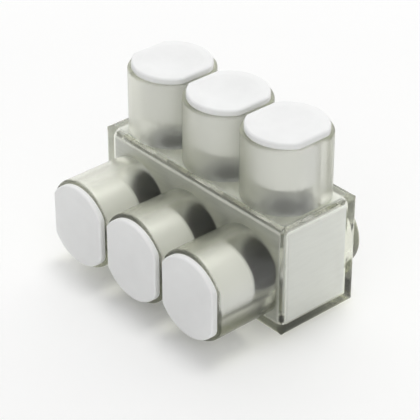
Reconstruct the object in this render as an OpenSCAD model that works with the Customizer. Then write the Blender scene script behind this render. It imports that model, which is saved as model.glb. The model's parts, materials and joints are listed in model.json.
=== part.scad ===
// Insulated multi-tap connector: an aluminium block with three wire ports and three clamping
// screws, inside one clear moulded jacket whose six collars are each closed by a white plug.
// Millimetres. Origin at the middle of the underside. +Z up along the screws, wires enter along +Y.

/* [Ports] */
// Distance from one port axis to the next
port_pitch = 24; // [23:0.5:30]
// Diameter of each wire bore in the block
wire_bore_d = 14.6; // [14.5:0.1:16]
// Bevel at the mouth of each wire bore
wire_bore_bevel = 0.4; // [0.2:0.1:1.2]
// Bevel at the mouth of each screw hole
screw_hole_bevel = 0.8; // [0.3:0.1:1.2]
// Height of the wire axes above the underside of the block
wire_axis_rise = 13.65; // [12:0.05:14.2]

/* [Block] */
// Metal beyond the axis of each outer port
block_end = 11.5; // [10.5:0.1:15]
// Depth of the block from front to back
block_d = 23; // [21:0.5:27]
// Height of the block
block_h = 30; // [29.5:0.1:34]
// Bevel on the edges of the block
block_bevel = 0.6; // [0.2:0.1:1]

/* [Clamping screws] */
// Outer diameter of the set screws
screw_d = 14.29; // [12.5:0.01:14.3]
// Length of a set screw
screw_len = 8.15; // [7:0.05:8.5]
// Width across the flats of the hexagon socket
hex_flats = 8; // [6:0.1:9]
// Depth of the hexagon socket
hex_depth = 4.8; // [3:0.1:5.5]
// Bevel on both ends of a set screw
screw_bevel = 1.3; // [0.5:0.1:1.5]
// Radial room between a set screw and its hole
screw_room = 0.05; // [0.03:0.01:0.1]
// Room between a backed-off screw and the wire bore
screw_lift = 0.1; // [0.05:0.05:0.3]

/* [Jacket] */
// Wall of the jacket round the block
jacket_wall = 2.75; // [2.2:0.05:3.2]
// Radius of the outer edges of the jacket
jacket_edge = 2; // [1:0.1:2.2]
// Radius of the rounded sides of a wire collar
wire_collar_r = 13.6; // [12.6:0.1:14]
// Radius of the rounded sides of a screw collar
screw_collar_r = 13; // [12.6:0.1:13.6]
// Radius at which a collar's rounded side runs into its flat
collar_corner = 5; // [3.5:0.5:6.5]
// Gap between the flat sides of neighbouring collars
collar_gap = 0.6; // [0.3:0.1:1]
// Length of the wire collars
wire_collar_len = 20.5; // [18:0.5:30]
// Length of the screw collars
screw_collar_len = 20.5; // [18:0.5:30]
// Bore of the collars
collar_bore_d = 19.5; // [19:0.1:20.5]
// Radius of the soft edge at a collar's mouth
collar_edge = 0.8; // [0.4:0.1:1.2]
// Radius of the closed boss behind each port
boss_r = 11.5; // [10.8:0.1:11.6]
// How far the boss stands behind the jacket
boss_len = 5; // [3:0.5:8]
// Radius of the soft edge of the boss
boss_edge = 1.5; // [0.5:0.1:2]
// Radial room between the wire bore and the pocket in the boss
pocket_room = 0.25; // [0.1:0.05:0.5]

/* [Plugs] */
// Width of the collar's end left bare round a plug's flange
plug_margin = 1.1; // [0.6:0.1:1.6]
// Thickness of a plug's flange
plug_flange = 1.8; // [1.4:0.1:2.4]
// Radius of the soft edge of the flange
plug_edge = 0.7; // [0.3:0.1:1]
// Depth of the dish in the flange
plug_dish = 0.5; // [0.2:0.1:0.7]
// Width of the rim outside the dish
plug_rim = 1.6; // [1.2:0.1:2.5]
// Length of a plug's skirt inside the collar
plug_skirt = 14.2; // [10:0.1:15]
// Wall of the skirt
plug_wall = 1.4; // [1:0.1:2]
// Radial room between the skirt and the collar
plug_room = 0.25; // [0.15:0.05:0.4]
// Lead-in bevel at the end of the skirt
plug_lead = 0.6; // [0.2:0.1:0.9]
// Room between the flange and the collar's end
plug_seat = 0.05; // [0.02:0.01:0.1]

/* [Hidden] */
$fn = 72;
over = 1;
// How far a corner's arc runs past the round side, so that the two cross at an angle
corner_bite = 0.01;
arc_steps = 6;
dish_steps = 6;
block_w = 2 * port_pitch + 2 * block_end;
block_z = jacket_wall;
jacket_w = block_w + 2 * jacket_wall;
jacket_d = block_d + 2 * jacket_wall;
jacket_h = block_h + 2 * jacket_wall;
wire_z = block_z + wire_axis_rise;
collar_flat = port_pitch / 2 - collar_gap / 2;
screw_hole_r = screw_d / 2 + screw_room;
screw_z = wire_z + wire_bore_d / 2 + screw_lift;
flange_flat = collar_flat - plug_margin;
flange_corner = collar_corner - plug_margin;
skirt_r = collar_bore_d / 2 - plug_room;

// Distance of port number i, counted from the left, from the middle of the part
function port_x(i) = (i - 2) * port_pitch;

// Points of a quarter arc about (x, y), from angle a to angle b
function arc(x, y, r, a, b) =
    [for (k = [0 : arc_steps]) [x + r * cos(a + (b - a) * k / arc_steps), y + r * sin(a + (b - a) * k / arc_steps)]];

// Rectangle with round corners
module round_rect(w, h, r) {
    square([w - 2 * r, h], center = true);
    square([w, h - 2 * r], center = true);
    for (x = [-1, 1], y = [-1, 1])
        translate([x * (w / 2 - r), y * (h / 2 - r)])
            circle(r);
}

// Box standing on z = 0 with all its edges rounded, as a moulded jacket has
module soft_box(w, d, h, r) {
    intersection() {
        linear_extrude(h)
            round_rect(w, d, r);
        translate([0, d / 2, h / 2])
            rotate([90, 0, 0])
                linear_extrude(d)
                    round_rect(w, h, r);
        translate([-w / 2, 0, h / 2])
            rotate([90, 0, 90])
                linear_extrude(w)
                    round_rect(d, h, r);
    }
}

// Outline that cuts two flats on a round post of radius r. Arcs of radius corner lead from each flat
// into the round side, and between the arcs the outline reaches past the post.
module flats_outline(r, flat, corner) {
    x = flat - corner;
    y = sqrt(pow(r - corner + corner_bite, 2) - x * x);
    far = 2 * r;
    square([2 * flat, 2 * y], center = true);
    for (side = [-1, 1])
        polygon([[0, 0], [-far * x / y, side * far], [far * x / y, side * far]]);
    for (u = [-x, x], v = [-y, y])
        translate([u, v])
            circle(corner);
}

// Slab from -root to len along +Z, whose two faces at +-flat run over a soft edge into its end
module soft_slab(r, flat, root, len, edge) {
    rotate([90, 0, 0])
        linear_extrude(2 * r + over, center = true)
            polygon(concat(
                [[-flat, -root], [flat, -root]],
                arc(flat - edge, len - edge, edge, 0, 90),
                arc(edge - flat, len - edge, edge, 90, 180)
            ));
}

// Cuts the two flats on its children. Ports that stand further apart than their collars need none.
module with_flats(r, flat, corner, root, len, edge) {
    if (flat < r)
        intersection() {
            children();
            translate([0, 0, -root])
                linear_extrude(root + len)
                    flats_outline(r, flat, corner);
            soft_slab(r, flat, root, len, edge);
        }
    else
        children();
}

// Post of radius r from -root to len, with a soft outer edge at its end
module soft_post(r, len, root, edge) {
    rotate_extrude()
        polygon(concat([[0, -root], [r, -root]], arc(r - edge, len - edge, edge, 0, 90), [[0, len]]));
}

// Solid collar of radius r along +Z, rooted in the jacket
module collar(r, len) {
    root = jacket_wall / 2;
    with_flats(r, collar_flat, collar_corner, root, len, collar_edge)
        soft_post(r, len, root, collar_edge);
}

// Puts its children on the front face at port i, with their +Z pointing out along -Y
module at_wire_port(i) {
    translate([port_x(i), -jacket_d / 2, wire_z])
        rotate([90, 0, 0])
            children();
}

// Puts its children on the top face over port i
module at_screw_port(i) {
    translate([port_x(i), 0, jacket_h])
        children();
}

module connector_block() {
    color("#c9cbcc")
        difference() {
            translate([0, 0, block_z])
                bevel_box(block_w, block_d, block_h, block_bevel);
            for (i = [1 : 3]) {
                wire_bore(i);
                screw_hole(i);
            }
        }
}

// Box standing on z = 0 with its four upright and eight level edges cut at 45 degrees
module bevel_box(w, d, h, c) {
    intersection() {
        linear_extrude(h)
            cut_rect(w, d, c);
        translate([0, d / 2, h / 2])
            rotate([90, 0, 0])
                linear_extrude(d)
                    cut_rect(w, h, c);
        translate([-w / 2, 0, h / 2])
            rotate([90, 0, 90])
                linear_extrude(w)
                    cut_rect(d, h, c);
    }
}

// Rectangle with cut corners
module cut_rect(w, h, c) {
    x = w / 2;
    y = h / 2;
    polygon([[-x + c, -y], [x - c, -y], [x, -y + c], [x, y - c], [x - c, y], [-x + c, y], [-x, y - c], [-x, -y + c]]);
}

// Wire bore right through the block, bevelled at its mouth
module wire_bore(i) {
    r = wire_bore_d / 2;
    translate([port_x(i), -block_d / 2, wire_z])
        rotate([-90, 0, 0]) {
            translate([0, 0, -over])
                cylinder(r = r, h = block_d + 2 * over);
            translate([0, 0, -over])
                cylinder(r1 = r + wire_bore_bevel + over, r2 = r, h = wire_bore_bevel + over);
        }
}

// Screw hole from the wire bore to the top of the block, bevelled at its mouth
module screw_hole(i) {
    top = block_z + block_h;
    translate([port_x(i), 0, wire_z])
        cylinder(r = screw_hole_r, h = block_h);
    translate([port_x(i), 0, top - screw_hole_bevel])
        cylinder(r1 = screw_hole_r, r2 = screw_hole_r + screw_hole_bevel + over, h = screw_hole_bevel + over);
}

module insulating_jacket() {
    color("#b9bda6", 0.45)
        difference() {
            union() {
                soft_box(jacket_w, jacket_d, jacket_h, jacket_edge);
                for (i = [1 : 3]) {
                    at_wire_port(i)
                        collar(wire_collar_r, wire_collar_len);
                    at_screw_port(i)
                        collar(screw_collar_r, screw_collar_len);
                    translate([port_x(i), jacket_d / 2, wire_z])
                        rotate([-90, 0, 0])
                            soft_post(boss_r, boss_len, jacket_wall / 2, boss_edge);
                }
            }
            translate([0, 0, block_z + block_h / 2])
                cube([block_w, block_d, block_h], center = true);
            for (i = [1 : 3]) {
                at_wire_port(i)
                    collar_bore(wire_collar_len);
                at_screw_port(i)
                    collar_bore(screw_collar_len);
                translate([port_x(i), 0, wire_z])
                    rotate([-90, 0, 0])
                        cylinder(r = wire_bore_d / 2 + pocket_room, h = block_d / 2 + boss_len);
            }
        }
}

// Bore of a collar, from inside the block's space to past the mouth
module collar_bore(len) {
    translate([0, 0, -jacket_wall - over])
        cylinder(d = collar_bore_d, h = len + jacket_wall + 2 * over);
}

// Flange and hollow skirt of the plug for a collar of radius r. The collar's end lies at z = 0 and
// the skirt goes down into it.
module plug(r) {
    flange_r = r - plug_margin;
    dish_r = min(flange_r, flange_flat) - plug_rim;
    translate([0, 0, plug_seat]) {
        with_flats(flange_r, flange_flat, flange_corner, 0, plug_flange, plug_edge)
            rotate_extrude()
                polygon(concat(
                    [[0, 0], [flange_r, 0]],
                    arc(flange_r - plug_edge, plug_flange - plug_edge, plug_edge, 0, 90),
                    [for (k = [dish_steps : -1 : 0])
                        [dish_r * k / dish_steps, plug_flange - plug_dish * (1 - pow(k / dish_steps, 2))]]
                ));
        rotate_extrude()
            polygon([
                [skirt_r - plug_wall, over / 2],
                [skirt_r - plug_wall, -plug_skirt],
                [skirt_r - plug_lead, -plug_skirt],
                [skirt_r, -plug_skirt + 2 * plug_lead],
                [skirt_r, over / 2]
            ]);
    }
}

// Set screw with a hexagon socket, standing on z = 0
module set_screw() {
    r = screw_d / 2;
    color("#b4b7b9")
        difference() {
            rotate_extrude()
                polygon([[0, 0], [r - screw_bevel, 0], [r, screw_bevel], [r, screw_len - screw_bevel],
                    [r - screw_bevel, screw_len], [0, screw_len]]);
            translate([0, 0, screw_len - hex_depth])
                cylinder(d = hex_flats / cos(30), h = hex_depth + over, $fn = 6);
        }
}

module set_screw_at(i) {
    translate([port_x(i), 0, screw_z])
        set_screw();
}

module wire_port_plug(i) {
    color("#eef0ee")
        at_wire_port(i)
            translate([0, 0, wire_collar_len])
                plug(wire_collar_r);
}

module screw_access_cap(i) {
    color("#f7f8f7")
        at_screw_port(i)
            translate([0, 0, screw_collar_len])
                plug(screw_collar_r);
}

connector_block();
insulating_jacket();
set_screw_at(1);  // set_screw_1
set_screw_at(2);  // set_screw_2
set_screw_at(3);  // set_screw_3
wire_port_plug(1);  // wire_port_plug_1
wire_port_plug(2);  // wire_port_plug_2
wire_port_plug(3);  // wire_port_plug_3
screw_access_cap(1);  // screw_access_cap_1
screw_access_cap(2);  // screw_access_cap_2
screw_access_cap(3);  // screw_access_cap_3
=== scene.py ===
"""Clear insulated three-port cable connector with white plugs, in metres, in the CAD frame."""
import json
import math

import bpy
from mathutils import Matrix, Vector

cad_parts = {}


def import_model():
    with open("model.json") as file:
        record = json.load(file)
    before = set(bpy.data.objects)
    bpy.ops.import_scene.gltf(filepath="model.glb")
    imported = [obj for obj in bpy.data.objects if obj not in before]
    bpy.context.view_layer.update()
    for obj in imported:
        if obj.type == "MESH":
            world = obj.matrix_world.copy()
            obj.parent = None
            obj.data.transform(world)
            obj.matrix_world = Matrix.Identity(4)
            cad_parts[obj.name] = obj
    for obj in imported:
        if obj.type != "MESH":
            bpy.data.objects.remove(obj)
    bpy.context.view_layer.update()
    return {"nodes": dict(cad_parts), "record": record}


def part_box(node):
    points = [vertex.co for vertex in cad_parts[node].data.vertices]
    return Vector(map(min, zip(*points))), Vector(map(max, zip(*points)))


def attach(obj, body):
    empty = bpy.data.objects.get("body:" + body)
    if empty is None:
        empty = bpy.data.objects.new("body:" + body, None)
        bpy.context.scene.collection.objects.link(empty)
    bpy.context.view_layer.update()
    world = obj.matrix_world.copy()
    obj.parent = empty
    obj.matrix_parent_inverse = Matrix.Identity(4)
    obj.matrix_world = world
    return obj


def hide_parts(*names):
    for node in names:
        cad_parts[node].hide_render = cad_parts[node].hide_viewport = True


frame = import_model()
nodes = frame["nodes"]
MM = 0.001

# Sizes of the frame that the materials and pieces below follow
block_low, block_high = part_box("connector_block")
left_screw, right_screw = [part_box(f"set_screw_{i}") for i in (1, 3)]
PITCH = (right_screw[0][0] - left_screw[0][0]) / 2
END_X, BLOCK_Y = block_high[0], block_high[1]
WALL = block_low[2]
BODY_TOP, BODY_FRONT = block_high[2] + WALL, block_low[1] - WALL
bore = next(m for m in frame["record"]["mounts"] if m["name"] == "wire_bore_2")
BORE_R, WIRE_Z = bore["dims"]["r_mm"] * MM, bore["pos_m"][2]

# Camera: read from the photograph, in degrees, metres, pixels and, for the sensor, millimetres
CAM_AZ, CAM_EL = 48.549, 32.449
CAM_PLACE = Vector((352.28, -317.95, 319.81)) * MM
FOCAL_PX, FRAME_PX = 1941.7, 420.0
SENSOR_MM = 36.0

# Set screws: 9/16 inch, 18 threads to the inch, 5/16 inch key
THREAD_PITCH = 25.4 / 18 * MM
THREAD_DEPTH = 0.6134 * THREAD_PITCH
# Half the flat on the thread's crest, and the width of its flank, as shares of the thread's pitch
CREST, FLANK = 1 / 16, 5 / 16
SCREW_BEVEL, HEX_FLATS, HEX_DEPTH = 1.3 * MM, 8.0 * MM, 4.8 * MM
HEX_LEAD, HEX_CONE = 0.35 * MM, 1.0 * MM
# Radii between which the cone at the bottom of the socket narrows
CONE_WIDE, CONE_NARROW = 0.94 * HEX_FLATS / 2, 0.03 * HEX_FLATS
# Radius of the innermost ring of points on the foot, as a share of the foot's flat
FOOT_RING = 0.5
SCREW_STEPS, THREAD_ROWS = 96, 14

# Edges sharper than this, in degrees, stay sharp in the CAD nodes and in the threaded screws
SHARP_ANGLE, THREAD_SHARP_ANGLE = 35.0, 40.0
# How far the block's skin is pushed out into the vinyl that is moulded round it
WETTING = 0.03 * MM

PURE_WHITE = (1, 1, 1, 1)
# The values of a noise between which a ramp goes from its first colour to its second
NOISE_LOW, NOISE_HIGH = 0.3, 0.7

# Vinyl: how rough its skin is on the body, the wire collars and the screw collars, and how milky
# the screw collars are
BODY_HAZE, WIRE_HAZE, SCREW_HAZE, SCREW_MILK = 0.12, 0.26, 0.31, 0.055
# What each skin of vinyl leaves of the light that casts the shadows
VINYL_SHADE = (0.92, 0.92, 0.89, 1.0)
# The olive that deep vinyl turns to, and how fast
VINYL_OLIVE, VINYL_DENSITY = (0.50, 0.54, 0.02, 1.0), 16.0

# Bar: how far the painted shade on its bores goes past their walls and stops short of its faces,
# and how far the brushing and the painted highlight of its ends go in along its sides
BORE_MARGIN, FACE_MARGIN, END_MARGIN = 0.05 * MM, 0.1 * MM, 0.2 * MM
# Painted shade: the dark grey painted on the bores' walls, where shade falls in them
BORE_PAINTED_SHADE = (0.07, 0.072, 0.077, 1.0)

# Floor: how much lighter it looks in the camera's view than the light on it alone makes it, near
# and far, and the distances in metres between which it changes
FLOOR_LIFT, FAR_LIFT = 0.10, 0.45
FLOOR_NEAR, FLOOR_FAR = 0.15, 1.2
FLOOR_SIZE = 6.0
# Air between the floor and the jacket's underside, which keeps the underside mirroring from inside
FLOOR_AIR = 0.1 * MM
# Sky: wide soft panels, each a direction and how bright it is there, and how narrow all of them are
PANELS = (
    ((0.66, -0.59, 0.46), 0.95),
    ((-0.60, -0.70, 0.39), 0.20),
    ((-0.50, 0.75, 0.43), 1.50),
)
PANEL_FOCUS = 2.0
# Lamp: its place and target, its width in metres and its power in watts
LAMP_PLACE, LAMP_TARGET = (-0.06, 0.12, 0.90), (0, 0, 0.03)
LAMP_SIZE, LAMP_WATTS = 0.28, 2.2


class Tree:
    """Adds and links the shader nodes of a new material, or of another new block with nodes."""

    def __init__(self, name, blocks=None):
        self.block = (bpy.data.materials if blocks is None else blocks).new(name)
        self.block.use_nodes = True
        self.nodes = self.block.node_tree.nodes
        self.bsdf = self.nodes.get("Principled BSDF")
        self.out = self.nodes.get("Material Output")

    def add(self, kind, **values):
        """A new node, with values for its sockets or, where it has no such socket, its settings."""
        node = self.nodes.new(kind)
        for key, value in values.items():
            if key in node.inputs:
                node.inputs[key].default_value = value
            else:
                setattr(node, key, value)
        return node

    def link(self, source, socket):
        self.block.node_tree.links.new(source, socket)

    def put(self, value, socket):
        """Sets a socket to a plain value, or links it where the value is itself a socket."""
        if isinstance(value, bpy.types.NodeSocket):
            self.link(value, socket)
        else:
            socket.default_value = value

    def set(self, **values):
        """Plain values for the main shader's sockets."""
        for key, value in values.items():
            self.bsdf.inputs[key.replace("_", " ")].default_value = value

    def feed(self, name, source):
        """Links a node's output to the main shader's socket of that name."""
        self.link(source, self.bsdf.inputs[name])

    def coords(self, scale=(1, 1, 1)):
        mapping = self.add("ShaderNodeMapping")
        mapping.inputs["Scale"].default_value = scale
        self.link(self.add("ShaderNodeTexCoord").outputs["Object"], mapping.inputs["Vector"])
        return mapping.outputs["Vector"]

    def noise(self, vector, scale, detail=4.0, rough=0.55):
        node = self.add("ShaderNodeTexNoise", Scale=scale, Detail=detail, Roughness=rough)
        self.link(vector, node.inputs["Vector"])
        return node.outputs["Fac"]

    def ramp(self, noise, low, high):
        """Colours from low to high over the middle of a noise's range."""
        node = self.add("ShaderNodeValToRGB")
        stops = zip(node.color_ramp.elements, (NOISE_LOW, NOISE_HIGH), (low, high))
        for stop, position, colour in stops:
            stop.position = position
            stop.color = (*colour, 1.0)
        self.link(noise, node.inputs["Fac"])
        return node.outputs["Color"]

    def calc(self, operation, *values):
        node = self.add("ShaderNodeMath", operation=operation)
        for socket, value in zip(node.inputs, values):
            self.put(value, socket)
        return node.outputs[0]

    def mix(self, factor, first, second):
        node = self.add("ShaderNodeMix", data_type="RGBA")
        factor_socket, first_socket, second_socket = [node.inputs[k] for k in (0, 6, 7)]
        self.link(factor, factor_socket)
        self.put(first, first_socket)
        self.put(second, second_socket)
        return node.outputs[2]

    def bump(self, height, strength, distance):
        node = self.add("ShaderNodeBump", Strength=strength, Distance=distance)
        self.link(height, node.inputs["Height"])
        return node.outputs["Normal"]

    def seen(self):
        """1 for rays from the camera, also by way of glass or a mirror, and 0 for the others."""
        ray = self.add("ShaderNodeLightPath").outputs
        glass = self.calc("MAXIMUM", ray["Is Transmission Ray"], ray["Is Glossy Ray"])
        return self.calc("MAXIMUM", ray["Is Camera Ray"], glass)


def grey(value):
    return (value, value, value)


def clear_vinyl():
    """Clear flexible vinyl: faintly olive, a little cloudy, with a moulded skin's soft gloss."""
    t = Tree("clear_vinyl")
    t.set(IOR=1.5)
    v = t.coords()
    place = t.add("ShaderNodeSeparateXYZ")
    t.link(v, place.inputs["Vector"])
    above = t.calc("GREATER_THAN", place.outputs["Z"], BODY_TOP)
    ahead = t.calc("LESS_THAN", place.outputs["Y"], BODY_FRONT)
    haze = t.calc("ADD", t.calc("MULTIPLY", above, SCREW_HAZE - BODY_HAZE), BODY_HAZE)
    haze = t.calc("ADD", t.calc("MULTIPLY", ahead, WIRE_HAZE - BODY_HAZE), haze)
    t.feed("Roughness", haze)
    milk = t.calc("MULTIPLY", above, SCREW_MILK)
    t.feed("Transmission Weight", t.calc("SUBTRACT", 1.0, milk))
    t.feed("Base Color", t.ramp(t.noise(v, 70.0), (0.98, 0.985, 0.965), (1.0, 1.0, 0.985)))
    t.feed("Normal", t.bump(t.noise(v, 260.0, 3.0), 0.05, 0.4 * MM))

    # Light reaches the metal and the plugs inside straight through the skin
    ray = t.add("ShaderNodeLightPath").outputs
    clear = t.add("ShaderNodeBsdfTransparent")
    t.link(t.mix(ray["Is Shadow Ray"], PURE_WHITE, VINYL_SHADE), clear.inputs["Color"])
    skin = t.add("ShaderNodeMixShader")
    t.link(t.calc("MAXIMUM", ray["Is Shadow Ray"], ray["Is Diffuse Ray"]), skin.inputs[0])
    t.link(t.bsdf.outputs["BSDF"], skin.inputs[1])
    t.link(clear.outputs["BSDF"], skin.inputs[2])
    t.link(skin.outputs["Shader"], t.out.inputs["Surface"])
    depth = t.add("ShaderNodeVolumeAbsorption", Color=VINYL_OLIVE, Density=VINYL_DENSITY)
    t.link(depth.outputs["Volume"], t.out.inputs["Volume"])
    return t.block


def white_polyethylene():
    """Satin white polyethylene with the faint flow marks of a moulding."""
    t = Tree("white_polyethylene")
    t.set(Subsurface_Weight=0.3, Subsurface_Scale=0.002, Subsurface_Radius=(1, 1, 1), IOR=1.5)
    v = t.coords()
    t.feed("Base Color", t.ramp(t.noise(v, 90.0), (0.87, 0.875, 0.87), (0.92, 0.925, 0.92)))
    t.feed("Roughness", t.ramp(t.noise(v, 400.0), grey(0.36), grey(0.48)))
    t.feed("Normal", t.bump(t.noise(v, 900.0, 3.0), 0.12, 0.2 * MM))
    return t.block


def bore_shade_mask(t, place):
    """1 on the walls of the three wire bores, where shade is painted, 0 elsewhere on the block."""
    x = t.calc("SUBTRACT", t.calc("ABSOLUTE", place.outputs["X"]), PITCH / 2)
    side = t.calc("SUBTRACT", t.calc("ABSOLUTE", x), PITCH / 2)
    rise = t.calc("SUBTRACT", place.outputs["Z"], WIRE_Z)
    reach = t.calc("ADD", t.calc("MULTIPLY", side, side), t.calc("MULTIPLY", rise, rise))
    inner = t.calc("LESS_THAN", t.calc("SQRT", reach), BORE_R + BORE_MARGIN)
    deep = t.calc("LESS_THAN", t.calc("ABSOLUTE", place.outputs["Y"]), BLOCK_Y - FACE_MARGIN)
    return t.calc("MULTIPLY", inner, deep)


def brushed_bar():
    """Tin-plated aluminium bar, brushed along its length and across its ends, with painted shade
    darkening its bores' walls and a painted highlight lightening its ends.
    """
    t = Tree("brushed_bar")
    t.set(Metallic=1.0)
    place = t.add("ShaderNodeSeparateXYZ")
    t.link(t.coords(), place.inputs["Vector"])
    end = t.calc("GREATER_THAN", t.calc("ABSOLUTE", place.outputs["X"]), END_X - END_MARGIN)
    across = t.noise(t.coords((80, 90, 600)), 1.0, 6.0, 0.6)
    along = t.noise(t.coords((50, 900, 900)), 1.0, 6.0, 0.6)
    brushing = t.mix(end, along, across)
    # Painted highlight: the ends are painted much lighter than the sides, for the light that falls
    # on them
    painted_lit_ends = t.ramp(across, (0.90, 0.91, 0.92), (0.97, 0.98, 0.99))
    plain = t.ramp(along, (0.64, 0.65, 0.64), (0.75, 0.76, 0.75))
    # Painted shade: the bores' walls are painted dark grey over the bar's colour
    t.feed("Base Color", t.mix(bore_shade_mask(t, place), t.mix(end, plain, painted_lit_ends), BORE_PAINTED_SHADE))
    t.feed("Roughness", t.ramp(brushing, grey(0.40), grey(0.56)))
    t.feed("Normal", t.bump(brushing, 0.2, 0.2 * MM))
    return t.block


def turned_metal():
    """Aluminium set screw, turned and lightly tarnished."""
    t = Tree("turned_metal")
    t.set(Metallic=1.0)
    turning = t.noise(t.coords((300, 300, 2500)), 1.0)
    t.feed("Base Color", t.ramp(turning, (0.36, 0.37, 0.38), (0.48, 0.49, 0.50)))
    t.feed("Roughness", t.ramp(turning, grey(0.30), grey(0.45)))
    t.feed("Normal", t.bump(turning, 0.1, 0.1 * MM))
    return t.block


def new_object(name, data):
    """A new object in the scene, made of data."""
    obj = bpy.data.objects.new(name, data)
    bpy.context.scene.collection.objects.link(obj)
    return obj


def dress(obj, material, angle=SHARP_ANGLE):
    """Gives a piece its material and smooth shading between its sharp edges."""
    obj.data.materials.clear()
    obj.data.materials.append(material)
    obj.data.polygons.foreach_set("use_smooth", [True] * len(obj.data.polygons))
    obj.data.set_sharp_from_angle(angle=math.radians(angle))


def thread_cut(z, turn):
    """Depth of a 60 degree thread at height z and at turn, from 0 to 1, round the screw."""
    rise = (z / THREAD_PITCH - turn) % 1.0
    from_crest = min(rise, 1.0 - rise)
    return THREAD_DEPTH * min(max((from_crest - CREST) / FLANK, 0.0), 1.0)


def screw_rings(radius, length):
    """Rings of points from the middle of the foot, up the thread, over the top, into the socket."""
    turns = [k / SCREW_STEPS for k in range(SCREW_STEPS)]
    rows = math.ceil(length / THREAD_PITCH * THREAD_ROWS)
    rings = [[(FOOT_RING * (radius - SCREW_BEVEL), 0.0)] * SCREW_STEPS]
    for row in range(rows + 1):
        z = length * row / rows
        widest = radius - SCREW_BEVEL + min(z, length - z, SCREW_BEVEL)
        rings.append([(min(radius - thread_cut(z, t), widest), z) for t in turns])
    # Distance of the hexagon's side from the axis at each turn
    hexagon = [HEX_FLATS / 2 / math.cos(2 * math.pi * (t % (1 / 6)) - math.pi / 6) for t in turns]
    floor_z = length - HEX_DEPTH
    rings.append([(h + HEX_LEAD, length) for h in hexagon])
    rings.append([(h, length - HEX_LEAD) for h in hexagon])
    rings.append([(h, floor_z) for h in hexagon])
    rings.append([(CONE_WIDE, floor_z)] * SCREW_STEPS)
    rings.append([(CONE_NARROW, floor_z - HEX_CONE)] * SCREW_STEPS)
    ways = [(math.cos(2 * math.pi * t), math.sin(2 * math.pi * t)) for t in turns]
    return [[(r * x, r * y, z) for (r, z), (x, y) in zip(ring, ways)] for ring in rings]


def threaded_screw(i, material):
    """Set screw number i with its thread, in place of the plain CAD screw."""
    low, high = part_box(f"set_screw_{i}")
    rings = screw_rings((high[0] - low[0]) / 2, high[2] - low[2])
    n = SCREW_STEPS
    last = n * (len(rings) - 1)
    faces = [
        [a + k, a + (k + 1) % n, a + n + (k + 1) % n, a + n + k]
        for a in range(0, last, n)
        for k in range(n)
    ]
    faces.append(list(range(n - 1, -1, -1)))
    faces.append(list(range(last, last + n)))
    mesh = bpy.data.meshes.new(f"threaded_screw_{i}")
    mesh.from_pydata([p for ring in rings for p in ring], [], faces)
    obj = new_object(mesh.name, mesh)
    obj.location = ((low[0] + high[0]) / 2, (low[1] + high[1]) / 2, low[2])
    dress(obj, material, THREAD_SHARP_ANGLE)
    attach(obj, f"set_screw_{i}")
    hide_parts(f"set_screw_{i}")


def wet_block():
    """Closes the air between the block and the jacket, which is moulded onto it and wets it."""
    wet = nodes["connector_block"].modifiers.new("wet", "DISPLACE")
    wet.strength = WETTING
    wet.mid_level = 0.0


def floor():
    """A pale floor that stays as light in the camera's view, and in glass, as a studio sweep."""
    bpy.ops.mesh.primitive_plane_add(size=FLOOR_SIZE, location=(0, 0, -FLOOR_AIR))
    obj = bpy.context.object
    obj.name = "floor"
    t = Tree("pale_floor")
    t.set(Base_Color=(0.93, 0.93, 0.925, 1.0), Roughness=0.9, Specular_IOR_Level=0.1)
    reach = t.add("ShaderNodeVectorMath", operation="LENGTH")
    t.link(t.coords(), reach.inputs[0])
    ends = {
        "From Min": FLOOR_NEAR,
        "From Max": FLOOR_FAR,
        "To Min": FLOOR_LIFT,
        "To Max": FAR_LIFT,
    }
    lift = t.add("ShaderNodeMapRange", **ends)
    t.link(reach.outputs["Value"], lift.inputs["Value"])
    glow = t.add("ShaderNodeEmission", Color=PURE_WHITE)
    t.link(t.calc("MULTIPLY", t.seen(), lift.outputs["Result"]), glow.inputs["Strength"])
    both = t.add("ShaderNodeAddShader")
    t.link(t.bsdf.outputs["BSDF"], both.inputs[0])
    t.link(glow.outputs["Emission"], both.inputs[1])
    t.link(both.outputs["Shader"], t.out.inputs["Surface"])
    obj.data.materials.append(t.block)


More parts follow.
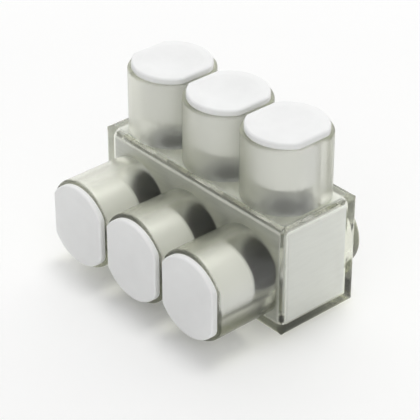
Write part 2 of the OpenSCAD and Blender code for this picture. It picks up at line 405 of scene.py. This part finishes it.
def world():
    """A studio lit by wide soft PANELS, which shows as plain white in the view and in glass."""
    t = Tree("studio", bpy.data.worlds)
    bpy.context.scene.world = t.block
    way = t.add("ShaderNodeTexCoord").outputs["Generated"]
    light = 0.0
    for direction, strength in PANELS:
        lean = t.add("ShaderNodeVectorMath", operation="DOT_PRODUCT")
        lean.inputs[1].default_value = direction
        t.link(way, lean.inputs[0])
        lit = t.calc("POWER", t.calc("MAXIMUM", lean.outputs["Value"], 0.0), PANEL_FOCUS)
        light = t.calc("ADD", t.calc("MULTIPLY", lit, strength), light)
    t.link(t.mix(t.seen(), light, PURE_WHITE), t.nodes["Background"].inputs["Color"])


def lamp():
    """A soft square lamp overhead."""
    data = bpy.data.lights.new("overhead", "AREA")
    data.shape, data.size, data.energy = "SQUARE", LAMP_SIZE, LAMP_WATTS
    obj = new_object("overhead", data)
    obj.location = LAMP_PLACE
    down = Vector(LAMP_TARGET) - Vector(LAMP_PLACE)
    obj.rotation_euler = down.to_track_quat("-Z", "Y").to_euler()


def camera():
    """The camera of the photograph."""
    az, el = math.radians(CAM_AZ), math.radians(CAM_EL)
    look = -Vector((math.sin(az) * math.cos(el), -math.cos(az) * math.cos(el), math.sin(el)))
    right = look.cross(Vector((0, 0, 1))).normalized()
    up = right.cross(look)
    data = bpy.data.cameras.new("camera")
    data.sensor_fit, data.sensor_width = "HORIZONTAL", SENSOR_MM
    data.lens = SENSOR_MM * FOCAL_PX / FRAME_PX
    obj = new_object("camera", data)
    turn = Matrix((right, up, -look)).transposed()
    obj.matrix_world = Matrix.Translation(CAM_PLACE) @ turn.to_4x4()
    bpy.context.scene.camera = obj


vinyl, white, bar, screw = clear_vinyl(), white_polyethylene(), brushed_bar(), turned_metal()
dress(nodes["insulating_jacket"], vinyl)
dress(nodes["connector_block"], bar)
for i in (1, 2, 3):
    threaded_screw(i, screw)
    dress(nodes[f"wire_port_plug_{i}"], white)
    dress(nodes[f"screw_access_cap_{i}"], white)
wet_block()

floor()
world()
lamp()
camera()
bpy.context.scene.view_settings.view_transform = "Standard"
